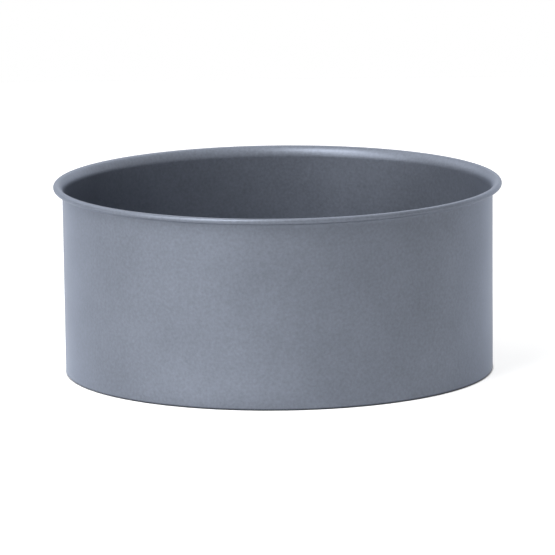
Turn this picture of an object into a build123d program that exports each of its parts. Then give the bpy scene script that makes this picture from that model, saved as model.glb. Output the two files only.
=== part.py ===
from build123d import *
import os
from math import acos, copysign, cos, degrees, radians, sin

# A deep round cake tin with a loose base, for cakes 20 cm across.
# Each piece is a profile of radius and height, turned once round the tin's axis.
# The origin is on the table under the middle of the tin, and +Z points up.
# Lengths are in millimetres and angles in degrees.

# Side wall: one ring of coated sheet steel, folded inward at the foot and rolled at the rim
base_inside_diameter = 200.0
tin_height = 89.5
wall_sheet = 0.6
wall_lean = 0.25
foot_bend_radius = 0.3
ledge_width = 6.0

# Rim: the wall flares out in two bends, then rolls over a wire
flare_bend_radius = 5.4
flare_turn = 45.0
shoulder_bend_radius = 1.8
roll_turn = 250.0
wire_diameter = 1.5
wire_clearance = 0.1

# Loose base: a pressed disc of the same steel that lies on the ledge
base_sheet = 0.8
base_clearance = 0.4
hole_clearance = 0.6
panel_floor_gap = 0.1
press_bend_radius = 1.2
bead_middle_diameter = 140.0
bead_height = 0.9
bead_crown_width = 1.4

# The coating rounds each corner of a cut edge by this share of the sheet's thickness
cut_edge_share = 0.4


def bent_line(start, moves):
    """Edges of a line that sets off level and outward, each move starting where the last one ended.

    A move is a straight length, or the radius and turn of a bend, the turn positive upward.
    """
    point, way = start, Vector(1, 0)
    edges = []
    for move in moves:
        if isinstance(move, tuple):
            edge = JernArc(point, way, *move)
        else:
            edge = Line(point, point + way * move)
        edges.append(edge)
        point, way = edge @ 1, edge % 1
    return edges


def strip(start, moves, sheet):
    """Section of a sheet whose lower or outer face makes these moves, with rounded cut ends."""
    inner_moves = [
        (move[0] - copysign(sheet, move[1]), move[1]) if isinstance(move, tuple) else move
        for move in moves
    ]
    outer = bent_line(start, moves)
    inner = bent_line(start + Vector(0, sheet), inner_moves)
    first_cut = Line(outer[0] @ 0, inner[0] @ 0)
    last_cut = Line(outer[-1] @ 1, inner[-1] @ 1)
    section = Face(Wire(outer + inner + [first_cut, last_cut], sequenced=True))
    for cut in (first_cut, last_cut):
        on_axis = (cut @ 0).X == 0
        if not on_axis:
            corners = section.vertices().sort_by_distance(cut @ 0.5)[:2]
            section = section.fillet_2d(sheet * cut_edge_share, corners)
    return section


def turned(section):
    """The solid that a section of radius and height sweeps round the tin's axis."""
    return revolve(Plane.XZ * section, Axis.Z)


def bend_rise(radius, before, after):
    """Height that a bend gains between two headings, measured from level."""
    return radius * abs(cos(radians(before)) - cos(radians(after)))


def step(rise, sheet):
    """Two bends that lift a level strip, or lower it where the rise is negative, and their run."""
    radii_sum = 2 * press_bend_radius + sheet
    turn = acos(1 - abs(rise) / radii_sum)
    hollow = (press_bend_radius + sheet, degrees(turn))
    crown = (press_bend_radius, -degrees(turn))
    bends = [hollow, crown] if rise > 0 else [crown, hollow]
    return bends, radii_sum * sin(turn)


# Where the pieces meet
base_inside_radius = base_inside_diameter / 2
ledge_hole_radius = base_inside_radius - ledge_width
wire_radius = wire_diameter / 2


def side_wall_moves():
    """Outer face of the wall, from the ledge's cut edge out and up to the end of the rim's roll."""
    foot_radius = foot_bend_radius + wall_sheet
    wall_heading = 90 - wall_lean
    flare_heading = 90 - flare_turn
    bends_rise = (
        bend_rise(foot_radius, 0, wall_heading)
        + bend_rise(flare_bend_radius, wall_heading, flare_heading)
        + bend_rise(shoulder_bend_radius, flare_heading, 0)
    )
    straight_rise = tin_height - wall_sheet - bends_rise
    return [
        ledge_width - foot_bend_radius,
        (foot_radius, wall_heading),
        straight_rise / sin(radians(wall_heading)),
        (flare_bend_radius, flare_heading - wall_heading),
        (shoulder_bend_radius, -flare_heading),
        (wire_radius + wire_clearance, -roll_turn),
    ]


def side_wall():
    """Ring that holds the cake in: ledge, foot, straight wall, flare and rolled rim in one sheet."""
    return turned(strip(Vector(ledge_hole_radius, 0), side_wall_moves(), wall_sheet))


def rim_wire():
    """Steel wire hoop inside the rolled rim."""
    roll = bent_line(Vector(ledge_hole_radius, 0), side_wall_moves())[-1]
    return turned(Pos(roll.arc_center) * Circle(wire_radius))


def loose_base():
    """Disc that lies on the ledge: a flat seat, a panel that sinks into the hole and a raised bead."""
    bead_up, bead_run = step(bead_height, base_sheet)
    bead_down, _ = step(-bead_height, base_sheet)
    seat_up, seat_run = step(wall_sheet - panel_floor_gap, base_sheet)
    bead_inner_radius = bead_middle_diameter / 2 - bead_crown_width / 2 - bead_run
    bead_outer_radius = bead_middle_diameter / 2 + bead_crown_width / 2 + bead_run
    seat_inner_radius = ledge_hole_radius - hole_clearance
    moves = [
        bead_inner_radius,
        *bead_up,
        bead_crown_width,
        *bead_down,
        seat_inner_radius - seat_run - bead_outer_radius,
        *seat_up,
        base_inside_radius - base_clearance - seat_inner_radius,
    ]
    return turned(strip(Vector(0, panel_floor_gap), moves, base_sheet))


pieces = {
    "side_wall": side_wall(),
    "rim_wire": rim_wire(),
    "loose_base": loose_base(),
}

os.makedirs("parts", exist_ok=True)
for name, piece in pieces.items():
    export_step(piece, f"parts/{name}.step")
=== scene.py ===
"""A deep round cake tin in satin grey coated steel, in a plain pale studio.

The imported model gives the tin's height, the disc's radius and heights, and the wire's thickness.
The ring of the wall and the disc are modelled here as smooth sheets. The wire keeps its own mesh.
Lengths are in metres, the tin's axis is Z and its foot stands on the floor at the origin.
"""

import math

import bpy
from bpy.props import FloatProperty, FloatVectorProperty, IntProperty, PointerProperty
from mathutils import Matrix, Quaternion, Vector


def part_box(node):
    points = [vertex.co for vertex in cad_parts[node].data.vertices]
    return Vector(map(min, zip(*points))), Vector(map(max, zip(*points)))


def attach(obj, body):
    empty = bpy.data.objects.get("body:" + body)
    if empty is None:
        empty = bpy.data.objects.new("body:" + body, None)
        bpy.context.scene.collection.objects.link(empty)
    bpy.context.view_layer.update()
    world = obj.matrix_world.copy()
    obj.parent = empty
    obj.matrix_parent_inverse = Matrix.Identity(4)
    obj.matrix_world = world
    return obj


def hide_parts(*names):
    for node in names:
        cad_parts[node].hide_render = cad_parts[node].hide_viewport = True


bl_info = {
    "name": "Round Cake Tin",
    "version": (1, 0, 0),
    "blender": (4, 5, 0),
    "location": "3D View > Sidebar > Cake Tin",
    "description": "Models a round cake tin with a rolled rim and a loose base, in a plain studio",
    "category": "Add Mesh",
}

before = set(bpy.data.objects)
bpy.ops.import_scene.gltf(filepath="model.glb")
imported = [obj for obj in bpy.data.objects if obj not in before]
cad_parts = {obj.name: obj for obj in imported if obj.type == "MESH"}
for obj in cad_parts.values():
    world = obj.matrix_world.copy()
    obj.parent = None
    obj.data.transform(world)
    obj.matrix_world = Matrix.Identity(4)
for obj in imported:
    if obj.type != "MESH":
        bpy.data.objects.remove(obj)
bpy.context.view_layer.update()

MM = 0.001
CENTRE = Vector((0, 0, 0))
WHITE = (1, 1, 1, 1)
BLACK = (0, 0, 0, 1)

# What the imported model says
wall_low, wall_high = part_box("side_wall")
disc_low, disc_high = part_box("loose_base")
wire_low, wire_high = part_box("rim_wire")


class WallSizes(bpy.types.PropertyGroup):
    """Sizes of the ring of sheet steel that holds the cake in."""

    height: FloatProperty(
        name="Height",
        description="From the surface that the tin stands on to the top of the rim",
        default=wall_high.z,
        unit="LENGTH",
    )
    disc_clearance: FloatProperty(
        name="Disc clearance",
        description="Gap between the disc's edge and the wall",
        default=0.4 * MM,
        unit="LENGTH",
    )
    sheet: FloatProperty(
        name="Sheet",
        description="Thickness of the steel sheet",
        default=0.6 * MM,
        unit="LENGTH",
    )
    lean: FloatProperty(
        name="Lean",
        description="How far the wall leans outward from upright",
        default=math.radians(0.25),
        subtype="ANGLE",
    )
    ledge_width: FloatProperty(
        name="Ledge width",
        description="How far the foot is folded inward from the inside of the wall",
        default=6 * MM,
        unit="LENGTH",
    )
    foot_bend: FloatProperty(
        name="Foot bend",
        description="Inside radius of the fold at the foot",
        default=0.3 * MM,
        unit="LENGTH",
    )
    flare_bend: FloatProperty(
        name="Flare bend",
        description="Radius in which the wall turns outward under the rim",
        default=5.4 * MM,
        unit="LENGTH",
    )
    flare_turn: FloatProperty(
        name="Flare turn",
        description="How far the flare turns away from upright",
        default=math.radians(45),
        subtype="ANGLE",
    )
    shoulder_bend: FloatProperty(
        name="Shoulder bend",
        description="Radius in which the flare turns level before the roll",
        default=1.8 * MM,
        unit="LENGTH",
    )
    roll_turn: FloatProperty(
        name="Roll turn",
        description="How far the rim is rolled round the wire",
        default=math.radians(250),
        subtype="ANGLE",
    )
    wire_clearance: FloatProperty(
        name="Wire clearance",
        description="Gap between the wire and the roll around it",
        default=0.1 * MM,
        unit="LENGTH",
    )


class DiscSizes(bpy.types.PropertyGroup):
    """Sizes of the pressed disc that lies on the ledge."""

    sheet: FloatProperty(
        name="Sheet",
        description="Thickness of the steel sheet",
        default=0.8 * MM,
        unit="LENGTH",
    )
    press_bend: FloatProperty(
        name="Press bend",
        description="Inside radius of the pressed bends",
        default=1.2 * MM,
        unit="LENGTH",
    )
    seat_rise: FloatProperty(
        name="Seat rise",
        description="How far the seat lies above the panel",
        default=0.5 * MM,
        unit="LENGTH",
    )
    hole_clearance: FloatProperty(
        name="Hole clearance",
        description="Gap between the panel's bend and the hole in the ledge",
        default=0.6 * MM,
        unit="LENGTH",
    )
    bead_diameter: FloatProperty(
        name="Bead diameter",
        description="Across the middle of the raised bead",
        default=140 * MM,
        unit="LENGTH",
    )
    bead_crown: FloatProperty(
        name="Bead crown",
        description="Width of the flat top of the bead",
        default=1.4 * MM,
        unit="LENGTH",
    )
    pole_share: FloatProperty(
        name="Pole share",
        description="Radius of the innermost ring, as a share of the flat panel inside the bead",
        default=0.1,
        subtype="FACTOR",
    )


class MeshFineness(bpy.types.PropertyGroup):
    """How finely the round pieces are divided."""

    segments: IntProperty(
        name="Segments",
        description="Flat steps in one turn round the tin",
        default=360,
        min=24,
    )
    bend_step: FloatProperty(
        name="Bend step",
        description="Largest step of a bend",
        default=math.radians(9),
        subtype="ANGLE",
    )
    row_height: FloatProperty(
        name="Row height",
        description="Largest step of a straight stretch",
        default=6 * MM,
        unit="LENGTH",
    )
    edge_row: FloatProperty(
        name="Edge row",
        description="Short straight step beside a bend, which keeps the bend's shading to itself",
        default=0.2 * MM,
        unit="LENGTH",
    )
    edge_rounding_share: FloatProperty(
        name="Edge rounding share",
        description="Rounding of a cut edge's corners, as a share of the sheet",
        default=0.3,
        subtype="FACTOR",
    )
    edge_rounding_steps: IntProperty(
        name="Edge rounding steps",
        description="Flat steps in the rounding of a cut edge's corner",
        default=3,
        min=1,
    )
    sharp_angle: FloatProperty(
        name="Sharp angle",
        description="Smallest turn between two faces that is rounded as a cut edge's corner",
        default=math.radians(60),
        subtype="ANGLE",
    )


class CoatingFinish(bpy.types.PropertyGroup):
    """Satin grey non-stick coating on the wall and the disc."""

    colour: FloatVectorProperty(
        name="Colour",
        description="Colour of the coating",
        subtype="COLOR",
        default=(0.172, 0.191, 0.231),
    )
    highlight: FloatVectorProperty(
        name="Highlight",
        description="Tint of the coating's highlights and of its gloss at a glancing angle",
        subtype="COLOR",
        default=(0.72, 0.81, 1.0),
    )
    metallic: FloatProperty(
        name="Metallic",
        description="Share of metal flakes in the coating: 0 is plain paint and 1 is bare metal",
        default=0.5,
        subtype="FACTOR",
    )
    roughness: FloatProperty(
        name="Roughness",
        description="0 is a mirror and 1 is chalk",
        default=0.4,
        subtype="FACTOR",
    )
    grain: FloatProperty(
        name="Grain",
        description="Size of the coating's fine grain",
        default=1.35 * MM,
        unit="LENGTH",
    )
    mottle: FloatProperty(
        name="Mottle",
        description="How much the grain lightens and darkens the colour",
        default=0.5,
        subtype="FACTOR",
    )
    relief: FloatProperty(
        name="Relief",
        description="Height of the grain",
        default=0.01 * MM,
        unit="LENGTH",
    )
    # Painted shade: a dark line painted into the wall's colour along the foot's fold, where the fold
    # lies in shadow.
    painted_fold_shade_height: FloatProperty(
        name="Fold height",
        description="Height of the darker line that the fold leaves along the foot",
        default=1.2 * MM,
        unit="LENGTH",
    )
    painted_fold_shade_brightness: FloatProperty(
        name="Fold brightness",
        description="Colour left at the foot's lowest line",
        default=0.1,
        subtype="FACTOR",
    )
    # Painted shade: the wall's colour is darkened where it faces down, as under the rolled rim.
    painted_underside_shade_brightness: FloatProperty(
        name="Underside brightness",
        description="Colour left on the wall where it faces straight down",
        default=0.65,
        subtype="FACTOR",
    )


class WireFinish(bpy.types.PropertyGroup):
    """Drawn steel of the hoop in the rim."""

    colour: FloatVectorProperty(
        name="Colour",
        description="Colour of the steel",
        subtype="COLOR",
        default=(0.62, 0.62, 0.63),
    )
    roughness: FloatProperty(
        name="Roughness",
        description="0 is a mirror and 1 is chalk",
        default=0.32,
        subtype="FACTOR",
    )
    draw_line: FloatProperty(
        name="Draw line",
        description="Width of the lines that the drawing die leaves along the wire",
        default=0.08 * MM,
        unit="LENGTH",
    )
    draw_share: FloatProperty(
        name="Draw share",
        description="Scale of the grain along the wire, as a share of its scale across it",
        default=0.02,
        subtype="FACTOR",
    )
    mottle: FloatProperty(
        name="Mottle",
        description="How much the lines lighten and darken the steel",
        default=0.3,
        subtype="FACTOR",
    )
    relief: FloatProperty(
        name="Relief",
        description="Depth of the lines",
        default=0.002 * MM,
        unit="LENGTH",
    )


class StudioSettings(bpy.types.PropertyGroup):
    """Floor, surroundings, lamps and camera."""

    floor_size: FloatProperty(
        name="Floor size",
        description="Side of the square floor",
        default=1.8,
        unit="LENGTH",
    )
    floor_glow: FloatProperty(
        name="Floor glow",
        description="Brightness that the floor adds for the eye and in reflections, to look white",
        default=0.74,
        subtype="FACTOR",
    )
    # Painted shadow: the floor's glow is left out under the tin and faded in round the foot, so the
    # floor beside the foot and its reflection in the fold are darker.
    foot_radius: FloatProperty(
        name="Foot radius",
        description="Radius of the floor under the tin, which gives no glow",
        default=disc_high.x + 0.6 * MM,
        unit="LENGTH",
    )
    foot_shade: FloatProperty(
        name="Foot shade",
        description="Width in which the glow comes up round the foot",
        default=1 * MM,
        unit="LENGTH",
    )
    card_brightness: FloatProperty(
        name="Card brightness",
        description="Brightness of the card that the right of the wall reflects",
        default=0.93,
        subtype="FACTOR",
    )
    card_bearing: FloatProperty(
        name="Card bearing",
        description="Direction of the card, to the right of the camera's",
        default=math.radians(50),
        subtype="ANGLE",
    )
    card_distance: FloatProperty(
        name="Card distance",
        description="From the tin's axis to the card",
        default=0.5,
        unit="LENGTH",
    )
    card_width: FloatProperty(
        name="Card width",
        description="Width of the card",
        default=1.0,
        unit="LENGTH",
    )
    card_height: FloatProperty(
        name="Card height",
        description="Height of the card, which stands on the floor",
        default=0.33,
        unit="LENGTH",
    )
    fill: FloatProperty(
        name="Fill",
        description="Light of the white surroundings on matt surfaces",
        default=0.05,
        subtype="FACTOR",
    )
    lamp_distance: FloatProperty(
        name="Lamp distance",
        description="From the middle of the tin to each softbox",
        default=1.2,
        unit="LENGTH",
    )
    high_key_power: FloatProperty(
        name="High key power",
        description="Softbox high on the left",
        default=7.2,
        unit="POWER",
    )
    low_key_power: FloatProperty(
        name="Low key power",
        description="Softbox low on the left",
        default=7.0,
        unit="POWER",
    )
    top_power: FloatProperty(
        name="Top power",
        description="Softbox straight above",
        default=2.4,
        unit="POWER",
    )
    back_power: FloatProperty(
        name="Back power",
        description="Softbox high behind the tin",
        default=2.2,
        unit="POWER",
    )
    left_back_power: FloatProperty(
        name="Left back power",
        description="Softbox behind the tin on the left",
        default=2.2,
        unit="POWER",
    )
    right_back_power: FloatProperty(
        name="Right back power",
        description="Softbox low behind the tin on the right",
        default=0.9,
        unit="POWER",
    )
    bounce_power: FloatProperty(
        name="Bounce power",
        description="Strip of light that comes up from the floor in front of the foot",
        default=0.008,
        unit="POWER",
    )
    bounce_distance: FloatProperty(
        name="Bounce distance",
        description="From the tin's axis to the middle of the strip",
        default=0.13,
        unit="LENGTH",
    )
    bounce_bearing: FloatProperty(
        name="Bounce bearing",
        description="Direction of the strip, to the right of the camera's",
        default=math.radians(-20),
        subtype="ANGLE",
    )
    bounce_height: FloatProperty(
        name="Bounce height",
        description="Height of the strip above the floor",
        default=1 * MM,
        unit="LENGTH",
    )
    camera_distance: FloatProperty(
        name="Camera distance",
        description="From the middle of the tin to the camera",
        default=3.0288,
        unit="LENGTH",
    )
    camera_elevation: FloatProperty(
        name="Camera elevation",
        description="Height of the camera above the level, seen from the middle of the tin",
        default=math.radians(10.385),
        subtype="ANGLE",
    )
    camera_roll: FloatProperty(
        name="Camera roll",
        description="Turn of the camera about its own line of sight",
        default=math.radians(-0.6243),
        subtype="ANGLE",
    )
    camera_lens: FloatProperty(
        name="Lens",
        description="Focal length in millimetres, on a sensor 36 mm wide",
        default=417.66,
    )


def deselect_everything():
    """Leaves no object selected, so that an operator acts only on what comes next."""
    if bpy.context.object is not None and bpy.context.object.mode != "OBJECT":
        bpy.ops.object.mode_set(mode="OBJECT")
    bpy.ops.object.select_all(action="DESELECT")


def straight_steps(length, fineness):
    """Steps of a straight stretch: even ones, with a short one at each end of a long stretch."""
    shortest_divided = 4 * fineness.edge_row
    if length < shortest_divided:
        return [length]
    middle = length - 2 * fineness.edge_row
    count = max(1, math.ceil(middle / fineness.row_height))
    return [fineness.edge_row] + [middle / count] * count + [fineness.edge_row]


def section_points(start, moves, fineness):
    """Points of radius and height along a section that sets off level and outward.

    A move is a straight length, or the radius and turn of a bend, the turn positive upward.
    """
    point, heading = Vector(start), 0.0
    points = [point.copy()]
    for move in moves:
        if isinstance(move, tuple):
            radius, turn = move
            side = math.copysign(1, turn)
            centre = point + side * radius * Vector((-math.sin(heading), math.cos(heading)))
            count = max(2, math.ceil(abs(turn) / fineness.bend_step))
            for step in range(1, count + 1):
                angle = heading + turn * step / count
                points.append(centre + side * radius * Vector((math.sin(angle), -math.cos(angle))))
            heading += turn
            point = points[-1]
        else:
            for step in straight_steps(move, fineness):
                point = point + step * Vector((math.cos(heading), math.sin(heading)))
                points.append(point)
    return points


def stack_rings(name, points, fineness):
    """New open sheet of rings, one at each point of radius and height, left in edit mode."""
    deselect_everything()
    radius, height = points[0]
    bpy.ops.mesh.primitive_circle_add(
        vertices=fineness.segments, radius=radius, fill_type="NOTHING", location=(0, 0, height)
    )
    piece = bpy.context.object
    piece.name = name
    piece.data.name = name
    bpy.ops.object.transform_apply(location=True, rotation=True, scale=True)
    bpy.ops.object.mode_set(mode="EDIT")
    bpy.ops.mesh.select_all(action="SELECT")
    for (old_radius, old_height), (radius, height) in zip(points, points[1:]):
        bpy.ops.mesh.extrude_region_move(
            TRANSFORM_OT_translate={"value": (0, 0, height - old_height)}
        )
        share = radius / old_radius
        bpy.ops.transform.resize(value=(share, share, 1), center_override=CENTRE)
    return piece


def close_pole(piece, radius):
    """Fills the innermost ring of a piece in edit mode, given by its radius, with a fan of faces."""
    selected_radius = 1.01 * radius
    bpy.ops.mesh.select_all(action="DESELECT")
    bpy.ops.object.mode_set(mode="OBJECT")
    for vertex in piece.data.vertices:
        vertex.select = vertex.co.xy.length < selected_radius
    bpy.ops.object.mode_set(mode="EDIT")
    bpy.ops.mesh.select_mode(type="VERT")
    bpy.ops.mesh.extrude_region_move()
    bpy.ops.mesh.merge(type="CENTER")


def finish_sheet(piece, sheet, fineness):
    """Turns the faces outward, gives the sheet its thickness and rounds its cut edges."""
    merge_distance = fineness.edge_row / 100
    bpy.ops.mesh.select_all(action="SELECT")
    bpy.ops.mesh.remove_doubles(threshold=merge_distance)
    bpy.ops.mesh.normals_make_consistent(inside=False)
    bpy.ops.object.mode_set(mode="OBJECT")
    lowest = min(piece.data.polygons, key=lambda face: face.center.z)
    if lowest.normal.z > 0:
        bpy.ops.object.mode_set(mode="EDIT")
        bpy.ops.mesh.flip_normals()
        bpy.ops.object.mode_set(mode="OBJECT")

    thickness = piece.modifiers.new("Sheet", "SOLIDIFY")
    thickness.thickness = sheet
    thickness.offset = -1
    thickness.use_even_offset = True
    thickness.use_quality_normals = True
    bpy.ops.object.modifier_apply(modifier=thickness.name)

    rounding = piece.modifiers.new("Cut edges", "BEVEL")
    rounding.width = sheet * fineness.edge_rounding_share
    rounding.segments = fineness.edge_rounding_steps
    rounding.limit_method = "ANGLE"
    rounding.angle_limit = fineness.sharp_angle
    bpy.ops.object.modifier_apply(modifier=rounding.name)
    bpy.ops.object.shade_smooth()


def add_node(tree, kind, place, **values):
    """New shader node at a place in the editor. The values name its inputs or its settings."""
    node = tree.nodes.new(kind)
    node.location = place
    for name, value in values.items():
        label = name.replace("_", " ").title()
        if label in node.inputs:
            node.inputs[label].default_value = value
        else:
            setattr(node, name, value)
    return node


def math_node(tree, operation, place, first, second):
    """New Math node; each operand is a number or a socket."""
    node = add_node(tree, "ShaderNodeMath", place, operation=operation)
    for socket, operand in zip(node.inputs, (first, second)):
        if isinstance(operand, bpy.types.NodeSocket):
            tree.links.new(operand, socket)
        else:
            socket.default_value = operand
    return node.outputs[0]


def new_group(name, inputs, outputs):
    """New shader node group with its sockets, and its input and output nodes."""
    group = bpy.data.node_groups.new(name, "ShaderNodeTree")
    for label, kind, default in inputs:
        socket = group.interface.new_socket(label, in_out="INPUT", socket_type=kind)
        socket.default_value = default
    for label, kind in outputs:
        group.interface.new_socket(label, in_out="OUTPUT", socket_type=kind)
    group_in = add_node(group, "NodeGroupInput", (-1400, 0))
    group_out = add_node(group, "NodeGroupOutput", (900, 0))
    return group, group_in, group_out


def surface_grain_group():
    """Fine grain of a coated or drawn surface: mottled colour, uneven gloss and fine relief."""
    name = "Surface Grain"
    if name in bpy.data.node_groups:
        return bpy.data.node_groups[name]
    group, group_in, group_out = new_group(
        name,
        [
            ("Vector", "NodeSocketVector", (0, 0, 0)),
            ("Color", "NodeSocketColor", (0.5, 0.5, 0.5, 1)),
            ("Roughness", "NodeSocketFloat", 0.4),
            ("Grain Scale", "NodeSocketFloat", 600),
            ("Mottle", "NodeSocketFloat", 0.2),
            ("Relief", "NodeSocketFloat", 0.01 * MM),
        ],
        [
            ("Color", "NodeSocketColor"),
            ("Roughness", "NodeSocketFloat"),
            ("Normal", "NodeSocketVector"),
        ],
    )
    links = group.links
    noise_middle = 0.5
    cloud_scale_share = 0.06
    cloud_strength = 0.5
    gloss_strength = 0.12

    fine = add_node(group, "ShaderNodeTexNoise", (-1000, 200), detail=3, roughness=0.55)
    links.new(group_in.outputs["Vector"], fine.inputs["Vector"])
    links.new(group_in.outputs["Grain Scale"], fine.inputs["Scale"])
    cloud = add_node(group, "ShaderNodeTexNoise", (-1000, -100), detail=2, roughness=0.5)
    cloud_scale = math_node(
        group, "MULTIPLY", (-1200, -100), group_in.outputs["Grain Scale"], cloud_scale_share
    )
    links.new(group_in.outputs["Vector"], cloud.inputs["Vector"])
    links.new(cloud_scale, cloud.inputs["Scale"])

    fine_swing = math_node(group, "SUBTRACT", (-800, 200), fine.outputs["Fac"], noise_middle)
    cloud_swing = math_node(group, "SUBTRACT", (-800, -100), cloud.outputs["Fac"], noise_middle)
    cloud_part = math_node(group, "MULTIPLY", (-600, -100), cloud_swing, cloud_strength)
    swing = math_node(group, "ADD", (-400, 100), fine_swing, cloud_part)
    mottle = math_node(group, "MULTIPLY", (-200, 100), swing, group_in.outputs["Mottle"])
    shade = math_node(group, "ADD", (0, 100), mottle, 1.0)
    tinted = add_node(group, "ShaderNodeVectorMath", (200, 200), operation="SCALE")
    links.new(group_in.outputs["Color"], tinted.inputs[0])
    links.new(shade, tinted.inputs["Scale"])
    links.new(tinted.outputs[0], group_out.inputs["Color"])

    gloss_swing = math_node(group, "MULTIPLY", (0, -200), fine_swing, gloss_strength)
    gloss = math_node(group, "ADD", (200, -200), gloss_swing, group_in.outputs["Roughness"])
    links.new(gloss, group_out.inputs["Roughness"])

    relief = add_node(group, "ShaderNodeBump", (400, -400), strength=1)
    links.new(fine.outputs["Fac"], relief.inputs["Height"])
    links.new(group_in.outputs["Relief"], relief.inputs["Distance"])
    links.new(relief.outputs["Normal"], group_out.inputs["Normal"])
    return group


def metal_material(name, colour, metallic, roughness, grain, mottle, relief, stretch):
    """Metal or metal paint whose colour, gloss and relief come from the grain group.

    The stretch scales the place along X, Y and Z before the grain is drawn.
    """
    material = bpy.data.materials.new(name)
    material.use_nodes = True
    tree = material.node_tree
    shader = tree.nodes["Principled BSDF"]
    shader.inputs["Metallic"].default_value = metallic
    place = add_node(tree, "ShaderNodeTexCoord", (-900, 0))
    mapping = add_node(tree, "ShaderNodeMapping", (-700, 0), scale=stretch)
    tree.links.new(place.outputs["Object"], mapping.inputs["Vector"])
    surface = add_node(tree, "ShaderNodeGroup", (-400, 0), node_tree=surface_grain_group())
    surface.inputs["Color"].default_value = (*colour, 1)
    surface.inputs["Roughness"].default_value = roughness
    surface.inputs["Grain Scale"].default_value = 1 / grain
    surface.inputs["Mottle"].default_value = mottle
    surface.inputs["Relief"].default_value = relief
    tree.links.new(mapping.outputs["Vector"], surface.inputs["Vector"])
    tree.links.new(surface.outputs["Color"], shader.inputs["Base Color"])
    tree.links.new(surface.outputs["Roughness"], shader.inputs["Roughness"])
    tree.links.new(surface.outputs["Normal"], shader.inputs["Normal"])
    return material


def coating_material(name, finish):
    """Satin grey coating, whose highlights keep its bluish hue."""
    material = metal_material(
        name,
        finish.colour,
        finish.metallic,
        finish.roughness,
        finish.grain,
        finish.mottle,
        finish.relief,
        (1, 1, 1),
    )
    shader = material.node_tree.nodes["Principled BSDF"]
    shader.inputs["Specular Tint"].default_value = (*finish.highlight, 1)
    return material


def paint_wall_shade(material, finish):
    """Paints shade into a coating's colour where the sheet faces down, as under the rim, and along
    the foot's fold.
    """
    tree = material.node_tree
    shader = tree.nodes["Principled BSDF"]
    coating_colour = shader.inputs["Base Color"].links[0].from_socket
    place = add_node(tree, "ShaderNodeTexCoord", (-900, 600))
    position = add_node(tree, "ShaderNodeSeparateXYZ", (-700, 700))
    tree.links.new(place.outputs["Object"], position.inputs[0])
    # Painted shade along the foot's fold, darkest at the lowest line.
    fold = add_node(
        tree,
        "ShaderNodeMapRange",
        (-500, 700),
        from_max=finish.painted_fold_shade_height,
        to_min=finish.painted_fold_shade_brightness,
    )
    tree.links.new(position.outputs["Z"], fold.inputs["Value"])
    facing = add_node(tree, "ShaderNodeSeparateXYZ", (-700, 400))
    tree.links.new(place.outputs["Normal"], facing.inputs[0])
    # Painted shade where the sheet faces down, as under the rim.
    painted_underside_shade = add_node(
        tree,
        "ShaderNodeMapRange",
        (-500, 400),
        from_min=-1,
        from_max=0,
        to_min=finish.painted_underside_shade_brightness,
    )
    tree.links.new(facing.outputs["Z"], painted_underside_shade.inputs["Value"])
    shade = math_node(
        tree, "MULTIPLY", (-300, 500), fold.outputs["Result"], painted_underside_shade.outputs["Result"]
    )
    shaded = add_node(tree, "ShaderNodeVectorMath", (-100, 400), operation="SCALE")
    tree.links.new(coating_colour, shaded.inputs[0])
    tree.links.new(shade, shaded.inputs["Scale"])
    tree.links.new(shaded.outputs[0], shader.inputs["Base Color"])


class CAKETIN_OT_side_wall(bpy.types.Operator):
    """Model the ring of the wall: ledge, foot, leaning wall, flare and rolled rim"""

    bl_idname = "caketin.side_wall"
    bl_label = "Side Wall"

    def execute(self, context):
        sizes = context.scene.cake_tin_wall
        fineness = context.scene.cake_tin_fineness
        inside_radius = disc_high.x + sizes.disc_clearance
        wire_radius = (wire_high.z - wire_low.z) / 2
        foot_outside = sizes.foot_bend + sizes.sheet
        upright = math.pi / 2 - sizes.lean
        flare_heading = math.pi / 2 - sizes.flare_turn
        bends_rise = (
            foot_outside * (1 - math.cos(upright))
            + sizes.flare_bend * (math.cos(flare_heading) - math.cos(upright))
            + sizes.shoulder_bend * (1 - math.cos(flare_heading))
        )
        straight_rise = sizes.height - sizes.sheet - bends_rise
        moves = [
            sizes.ledge_width - sizes.foot_bend,
            (foot_outside, upright),
            straight_rise / math.sin(upright),
            (sizes.flare_bend, flare_heading - upright),
            (sizes.shoulder_bend, -flare_heading),
            (wire_radius + sizes.wire_clearance, -sizes.roll_turn),
        ]
        points = section_points((inside_radius - sizes.ledge_width, 0), moves, fineness)
        piece = stack_rings("side_wall_sheet", points, fineness)
        finish_sheet(piece, sizes.sheet, fineness)
        finish = context.scene.cake_tin_coating
        material = coating_material("grey_wall_coating", finish)
        # The wall's coating gets painted shade under the rim and along the foot's fold.
        paint_wall_shade(material, finish)
        piece.data.materials.append(material)
        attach(piece, "tin")
        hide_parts("side_wall")
        return {"FINISHED"}


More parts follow.
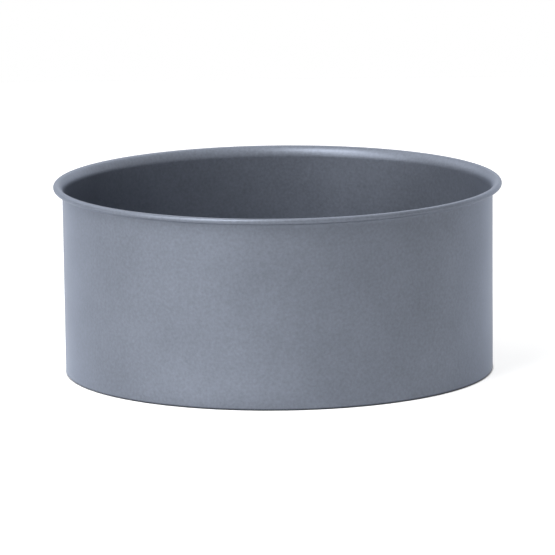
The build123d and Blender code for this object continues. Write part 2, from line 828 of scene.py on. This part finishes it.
class CAKETIN_OT_loose_base(bpy.types.Operator):
    """Model the pressed disc that lies on the ledge: panel, raised bead and seat"""

    bl_idname = "caketin.loose_base"
    bl_label = "Loose Base"

    def execute(self, context):
        sizes = context.scene.cake_tin_disc
        fineness = context.scene.cake_tin_fineness
        wall = context.scene.cake_tin_wall
        bead_height = disc_high.z - disc_low.z - sizes.sheet
        up, bead_run = self.step(bead_height, sizes)
        down, _ = self.step(-bead_height, sizes)
        seat_up, seat_run = self.step(sizes.seat_rise, sizes)
        bead_inner = (sizes.bead_diameter - sizes.bead_crown) / 2 - bead_run
        bead_outer = (sizes.bead_diameter + sizes.bead_crown) / 2 + bead_run
        seat_inner = disc_high.x + wall.disc_clearance - wall.ledge_width - sizes.hole_clearance
        pole_radius = bead_inner * sizes.pole_share
        moves = [
            bead_inner - pole_radius,
            *up,
            sizes.bead_crown,
            *down,
            seat_inner - seat_run - bead_outer,
            *seat_up,
            disc_high.x - seat_inner,
        ]
        points = section_points((pole_radius, disc_low.z), moves, fineness)
        piece = stack_rings("loose_base_disc", points, fineness)
        close_pole(piece, pole_radius)
        finish_sheet(piece, sizes.sheet, fineness)
        material = coating_material("grey_disc_coating", context.scene.cake_tin_coating)
        piece.data.materials.append(material)
        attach(piece, "base")
        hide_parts("loose_base")
        return {"FINISHED"}

    def step(self, rise, sizes):
        """Two bends that lift a level sheet, or lower it for a negative rise, and their run."""
        radii_sum = 2 * sizes.press_bend + sizes.sheet
        turn = math.acos(1 - abs(rise) / radii_sum)
        hollow = (sizes.press_bend + sizes.sheet, turn)
        crown = (sizes.press_bend, -turn)
        bends = [hollow, crown] if rise > 0 else [crown, hollow]
        return bends, radii_sum * math.sin(turn)


class CAKETIN_OT_rim_wire(bpy.types.Operator):
    """Give the wire in the rim its drawn steel finish"""

    bl_idname = "caketin.rim_wire"
    bl_label = "Rim Wire"

    def execute(self, context):
        finish = context.scene.cake_tin_wire
        bare_metal = 1
        material = metal_material(
            "drawn_steel",
            finish.colour,
            bare_metal,
            finish.roughness,
            finish.draw_line,
            finish.mottle,
            finish.relief,
            (finish.draw_share, finish.draw_share, 1),
        )
        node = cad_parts["rim_wire"]
        node.data.materials.clear()
        node.data.materials.append(material)
        return {"FINISHED"}


def matt_material(name, grey):
    """New matt material whose white glow is off until a strength is linked, and its shader."""
    material = bpy.data.materials.new(name)
    material.use_nodes = True
    shader = material.node_tree.nodes["Principled BSDF"]
    shader.inputs["Base Color"].default_value = grey
    shader.inputs["Specular IOR Level"].default_value = 0
    shader.inputs["Emission Color"].default_value = WHITE
    return material, shader


def seen_by_eye(tree, place):
    """Socket that is 1 for rays from the camera, off metal or through glass, and otherwise 0."""
    path = add_node(tree, "ShaderNodeLightPath", place)
    x, y = place
    glossy = math_node(
        tree, "MAXIMUM", (x + 200, y), path.outputs["Is Camera Ray"], path.outputs["Is Glossy Ray"]
    )
    return math_node(tree, "MAXIMUM", (x + 400, y), glossy, path.outputs["Is Transmission Ray"])


class CAKETIN_OT_studio(bpy.types.Operator):
    """Add the pale floor, the white surroundings, the soft lamps and the camera"""

    bl_idname = "caketin.studio"
    bl_label = "Studio"

    def execute(self, context):
        settings = context.scene.cake_tin_studio
        self.floor(settings)
        self.pale_card(settings)
        self.surroundings(context.scene, settings)
        self.lamps(context.scene, settings)
        self.camera(context.scene, settings)
        context.scene.view_settings.view_transform = "Standard"
        return {"FINISHED"}

    def floor(self, settings):
        """Matt pale floor that reads as white and keeps the tin's shadow, with a painted shadow
        where its glow is left out under the tin and faded in round the foot.
        """
        deselect_everything()
        bpy.ops.mesh.primitive_plane_add(size=settings.floor_size, location=(0, 0, 0))
        floor = bpy.context.object
        floor.name = "studio_floor"
        pale_grey = (0.8, 0.8, 0.8, 1)
        material, shader = matt_material("pale_floor", pale_grey)
        shader.inputs["Roughness"].default_value = 0.9
        tree = material.node_tree
        place = add_node(tree, "ShaderNodeTexCoord", (-1000, -600))
        radius = add_node(tree, "ShaderNodeVectorMath", (-800, -600), operation="LENGTH")
        tree.links.new(place.outputs["Object"], radius.inputs[0])
        # Painted shadow round the foot: the glow is left out under the tin and faded in over the
        # foot shade's width.
        clear = add_node(
            tree,
            "ShaderNodeMapRange",
            (-600, -600),
            from_min=settings.foot_radius,
            from_max=settings.foot_radius + settings.foot_shade,
        )
        tree.links.new(radius.outputs["Value"], clear.inputs["Value"])
        seen = seen_by_eye(tree, (-800, -300))
        glow = math_node(tree, "MULTIPLY", (-200, -300), seen, settings.floor_glow)
        shown = math_node(tree, "MULTIPLY", (0, -300), glow, clear.outputs["Result"])
        tree.links.new(shown, shader.inputs["Emission Strength"])
        floor.data.materials.append(material)

    def pale_card(self, settings):
        """Upright card right of the camera, for the reflections in the right of the wall."""
        around, distance = settings.card_bearing, settings.card_distance
        deselect_everything()
        bpy.ops.mesh.primitive_plane_add(
            size=1,
            location=(
                distance * math.sin(around),
                -distance * math.cos(around),
                settings.card_height / 2,
            ),
            rotation=(math.pi / 2, 0, around),
        )
        card = bpy.context.object
        card.name = "pale_card"
        card.scale = (settings.card_width, settings.card_height, 1)
        bpy.ops.object.transform_apply(location=True, rotation=True, scale=True)
        material, shader = matt_material("pale_paper", BLACK)
        tree = material.node_tree
        seen = seen_by_eye(tree, (-800, -300))
        glow = math_node(tree, "MULTIPLY", (-200, -300), seen, settings.card_brightness)
        tree.links.new(glow, shader.inputs["Emission Strength"])
        card.data.materials.append(material)
        card.visible_camera = False
        card.visible_diffuse = False
        card.visible_shadow = False

    def surroundings(self, scene, settings):
        """White all round: fully for the eye and in reflections, faintly on matt surfaces."""
        world = bpy.data.worlds.new("white_studio")
        scene.world = world
        world.use_nodes = True
        tree = world.node_tree
        background = tree.nodes["Background"]
        seen = seen_by_eye(tree, (-1000, 0))
        rise = math_node(tree, "MULTIPLY", (-400, 0), seen, 1 - settings.fill)
        strength = math_node(tree, "ADD", (-200, 0), rise, settings.fill)
        background.inputs["Color"].default_value = WHITE
        tree.links.new(strength, background.inputs["Strength"])

    def lamps(self, scene, settings):
        """Softboxes, each by its bearing from the camera's, elevation, width, height and power."""
        middle = Vector((0, 0, wall_high.z / 2))
        for name, bearing, elevation, width, height, watts in (
            ("high_key_softbox", -37, 54, 0.6, 0.45, settings.high_key_power),
            ("low_key_softbox", -50, 25, 1.0, 0.8, settings.low_key_power),
            ("top_softbox", 0, 89, 1.2, 1.2, settings.top_power),
            ("back_softbox", 165, 45, 1.0, 0.8, settings.back_power),
            ("left_back_softbox", -125, 36, 0.8, 0.8, settings.left_back_power),
            ("right_back_softbox", 130, 14, 1.0, 0.6, settings.right_back_power),
        ):
            around, up = math.radians(bearing), math.radians(elevation)
            across = math.cos(up)
            way = Vector((math.sin(around) * across, -math.cos(around) * across, math.sin(up)))
            turn = (-way).to_track_quat("-Z", "Y").to_euler()
            place = middle + settings.lamp_distance * way
            self.lamp(scene, name, width, height, watts, place, turn)
        around, out = settings.bounce_bearing, settings.bounce_distance
        place = Vector((out * math.sin(around), -out * math.cos(around), settings.bounce_height))
        strip_length, strip_width = 0.12, 0.04
        watts = settings.bounce_power
        facing_up = (math.pi, 0, around)
        self.lamp(scene, "floor_bounce", strip_length, strip_width, watts, place, facing_up)

    def lamp(self, scene, name, width, height, watts, place, turn):
        """New soft rectangular lamp that the camera doesn't see."""
        light = bpy.data.lights.new(name, "AREA")
        light.shape = "RECTANGLE"
        light.size = width
        light.size_y = height
        light.energy = watts
        lamp = bpy.data.objects.new(name, light)
        scene.collection.objects.link(lamp)
        lamp.location = place
        lamp.rotation_euler = turn
        lamp.visible_camera = False

    def camera(self, scene, settings):
        """Camera of the photograph, whose frame has the tin's middle at the aimed pixel."""
        frame_width = 555
        aim_column, aim_row = 278.42, 274.68
        sensor_width = 36
        middle = Vector((0, 0, wall_high.z / 2))
        back = settings.camera_distance * math.cos(settings.camera_elevation)
        up = settings.camera_distance * math.sin(settings.camera_elevation)
        data = bpy.data.cameras.new("photo_camera")
        data.sensor_width = sensor_width
        data.lens = settings.camera_lens
        data.shift_x = -(aim_column - frame_width / 2) / frame_width
        data.shift_y = (aim_row - frame_width / 2) / frame_width
        camera = bpy.data.objects.new("photo_camera", data)
        scene.collection.objects.link(camera)
        camera.location = middle + Vector((0, -back, up))
        look = (middle - camera.location).to_track_quat("-Z", "Y")
        camera.rotation_mode = "QUATERNION"
        camera.rotation_quaternion = look @ Quaternion((0, 0, 1), settings.camera_roll)
        scene.camera = camera


class CAKETIN_PT_sidebar(bpy.types.Panel):
    """Lists the tin's pieces and the sizes and finishes that they take"""

    bl_idname = "CAKETIN_PT_sidebar"
    bl_label = "Round Cake Tin"
    bl_space_type = "VIEW_3D"
    bl_region_type = "UI"
    bl_category = "Cake Tin"

    def draw(self, context):
        """Draws a box for each operator, with its sizes and finishes."""
        scene = context.scene
        for operator, groups in (
            (
                "caketin.side_wall",
                (scene.cake_tin_wall, scene.cake_tin_coating, scene.cake_tin_fineness),
            ),
            ("caketin.loose_base", (scene.cake_tin_disc,)),
            ("caketin.rim_wire", (scene.cake_tin_wire,)),
            ("caketin.studio", (scene.cake_tin_studio,)),
        ):
            box = self.layout.box()
            box.operator(operator)
            for group in groups:
                for name in group.__annotations__:
                    box.prop(group, name)


CLASSES = (
    WallSizes,
    DiscSizes,
    MeshFineness,
    CoatingFinish,
    WireFinish,
    StudioSettings,
    CAKETIN_OT_side_wall,
    CAKETIN_OT_loose_base,
    CAKETIN_OT_rim_wire,
    CAKETIN_OT_studio,
    CAKETIN_PT_sidebar,
)

SCENE_GROUPS = {
    "cake_tin_wall": WallSizes,
    "cake_tin_disc": DiscSizes,
    "cake_tin_fineness": MeshFineness,
    "cake_tin_coating": CoatingFinish,
    "cake_tin_wire": WireFinish,
    "cake_tin_studio": StudioSettings,
}


def register():
    """Adds the classes to Blender, and the sizes and finishes to each scene."""
    for cls in CLASSES:
        bpy.utils.register_class(cls)
    for name, group in SCENE_GROUPS.items():
        setattr(bpy.types.Scene, name, PointerProperty(type=group))


def unregister():
    """Takes out again what register adds."""
    for name in SCENE_GROUPS:
        delattr(bpy.types.Scene, name)
    for cls in reversed(CLASSES):
        bpy.utils.unregister_class(cls)


def main():
    """Builds the tin and its studio."""
    register()
    bpy.ops.caketin.side_wall()
    bpy.ops.caketin.loose_base()
    bpy.ops.caketin.rim_wire()
    bpy.ops.caketin.studio()


if __name__ == "__main__":
    main()
